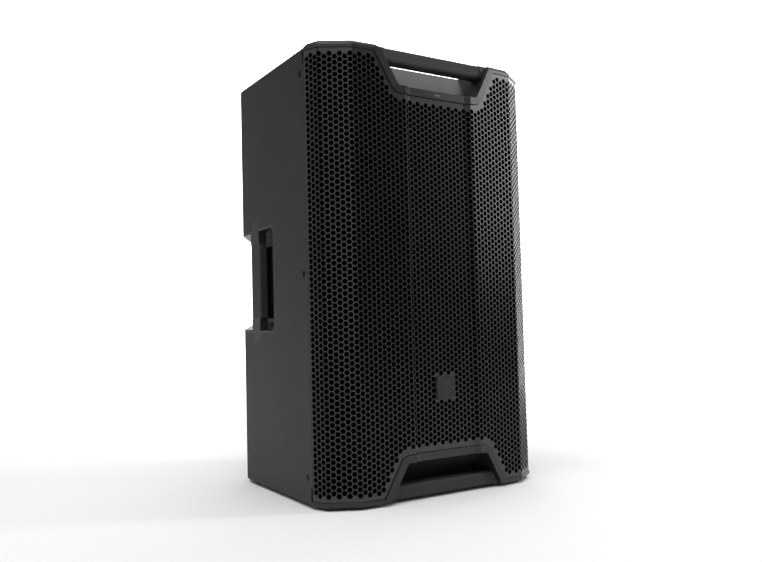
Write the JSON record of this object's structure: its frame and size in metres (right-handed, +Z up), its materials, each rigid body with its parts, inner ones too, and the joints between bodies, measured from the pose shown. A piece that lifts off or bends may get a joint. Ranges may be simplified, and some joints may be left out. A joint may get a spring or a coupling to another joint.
{
  "type": "loudspeaker cabinet",
  "caption": "Powered loudspeaker cabinet with folded grille, coaxial driver, end pockets with bars, and side handles.",
  "frame": {"origin": "on the floor under the middle of the bounding box", "axes": "+X to the right seen from the front, the front faces -Y, +Z up"},
  "size_m": [0.429, 0.384, 0.708],
  "materials": {
    "shell_plastic": "fine leather-grained moulding",
    "trim_plastic": "satin moulding",
    "grille_steel": "black powder coat",
    "black_metal": "black powder coat",
    "rubber": "soft black rubber",
    "foam": "open-cell foam",
    "wadding": "loose polyester",
    "aluminium": "as cast",
    "steel": "zinc plated",
    "ferrite": "sintered ferrite",
    "paper": "coated paper",
    "coil": "enamelled wire",
    "board": "circuit board",
    "clear": "clear window"
  },
  "bodies": {
    "cabinet": {"amp_case": "aluminium", "amp_panel": "black_metal", "amp_screws": "steel", "amp_seal": "foam", "amplifier_board": "board", "bottom_handle_bar": "trim_plastic", "bottom_handle_grip": "rubber", "combo_socket_1": "trim_plastic", "combo_socket_2": "trim_plastic", "compression_driver": "aluminium", "damping_lining": "wadding", "display_window": "clear", "driver_basket": "black_metal", "driver_gasket": "rubber", "driver_screws": "steel", "foot_front_left": "rubber", "foot_front_right": "rubber", "foot_rear_left": "rubber", "foot_rear_right": "rubber", "front_moulding": "trim_plastic", "grille": "grille_steel", "grille_foam": "foam", "heat_sink": "black_metal", "horn": "trim_plastic", "light_pipe": "clear", "link_output": "trim_plastic", "magnet": "ferrite", "mains_inlet": "trim_plastic", "pole_socket": "steel", "pole_yoke": "steel", "port_left": "trim_plastic", "port_right": "trim_plastic", "power_supply": "board", "rear_shell": "shell_plastic", "rigging_inserts": "steel", "rocker_frame": "trim_plastic", "side_cup_left": "trim_plastic", "side_cup_right": "trim_plastic", "side_grip_left": "rubber", "side_grip_right": "rubber", "side_handle_left": "trim_plastic", "side_handle_right": "trim_plastic", "side_handle_screws": "steel", "side_screws": "steel", "spider": "paper", "surround": "rubber", "top_handle_bar": "trim_plastic", "top_handle_grip": "rubber", "top_plate": "steel"},
    "badge_turntable": {"badge": "trim_plastic", "badge_clip": "steel"},
    "moving_cone": {"cone": "paper", "voice_coil": "coil"},
    "gain_knob_left": {"gain_knob_1": "trim_plastic"},
    "gain_knob_right": {"gain_knob_2": "trim_plastic"},
    "encoder_shaft": {"encoder_shaft": "steel"},
    "menu_knob": {"menu_knob": "trim_plastic"},
    "rocker": {"power_rocker": "trim_plastic"},
    "latch_left": {"latch_tab_1": "trim_plastic"},
    "latch_right": {"latch_tab_2": "trim_plastic"}
  },
  "joints": [
    {"name": "badge_turn", "type": "hinge", "parent": "cabinet", "child": "badge_turntable", "pos_m": [0, -0.18486, 0.171], "axis": [0, 1, 0], "range_deg": [0, 90]},
    {"name": "cone_travel", "type": "slide", "parent": "cabinet", "child": "moving_cone", "axis": [0, -1, 0], "range_m": [-0.008, 0.008], "stiffness_N_per_m": 6000, "deforming": ["surround", "spider"]},
    {"name": "gain_turn_left", "type": "hinge", "parent": "cabinet", "child": "gain_knob_left", "pos_m": [0.062, 0.184, 0.202], "axis": [0, 1, 0], "range_deg": [-140, 140]},
    {"name": "gain_turn_right", "type": "hinge", "parent": "cabinet", "child": "gain_knob_right", "pos_m": [-0.062, 0.184, 0.202], "axis": [0, 1, 0], "range_deg": [-140, 140]},
    {"name": "encoder_turn", "type": "hinge", "parent": "cabinet", "child": "encoder_shaft", "pos_m": [0, 0.184, 0.189], "axis": [0, 1, 0], "continuous": true},
    {"name": "menu_push", "type": "slide", "parent": "encoder_shaft", "child": "menu_knob", "axis": [0, -1, 0], "range_m": [0, 0.0005], "stiffness_N_per_m": 4000},
    {"name": "rocker_tip", "type": "hinge", "parent": "cabinet", "child": "rocker", "pos_m": [0.05, 0.183, 0.106], "axis": [0, 0, 1], "range_deg": [-7, 7]},
    {"name": "latch_press_left", "type": "slide", "parent": "cabinet", "child": "latch_left", "axis": [0, -1, 0], "range_m": [0, 0.002], "stiffness_N_per_m": 1200},
    {"name": "latch_press_right", "type": "slide", "parent": "cabinet", "child": "latch_right", "axis": [0, -1, 0], "range_m": [0, 0.002], "stiffness_N_per_m": 1200}
  ]
}
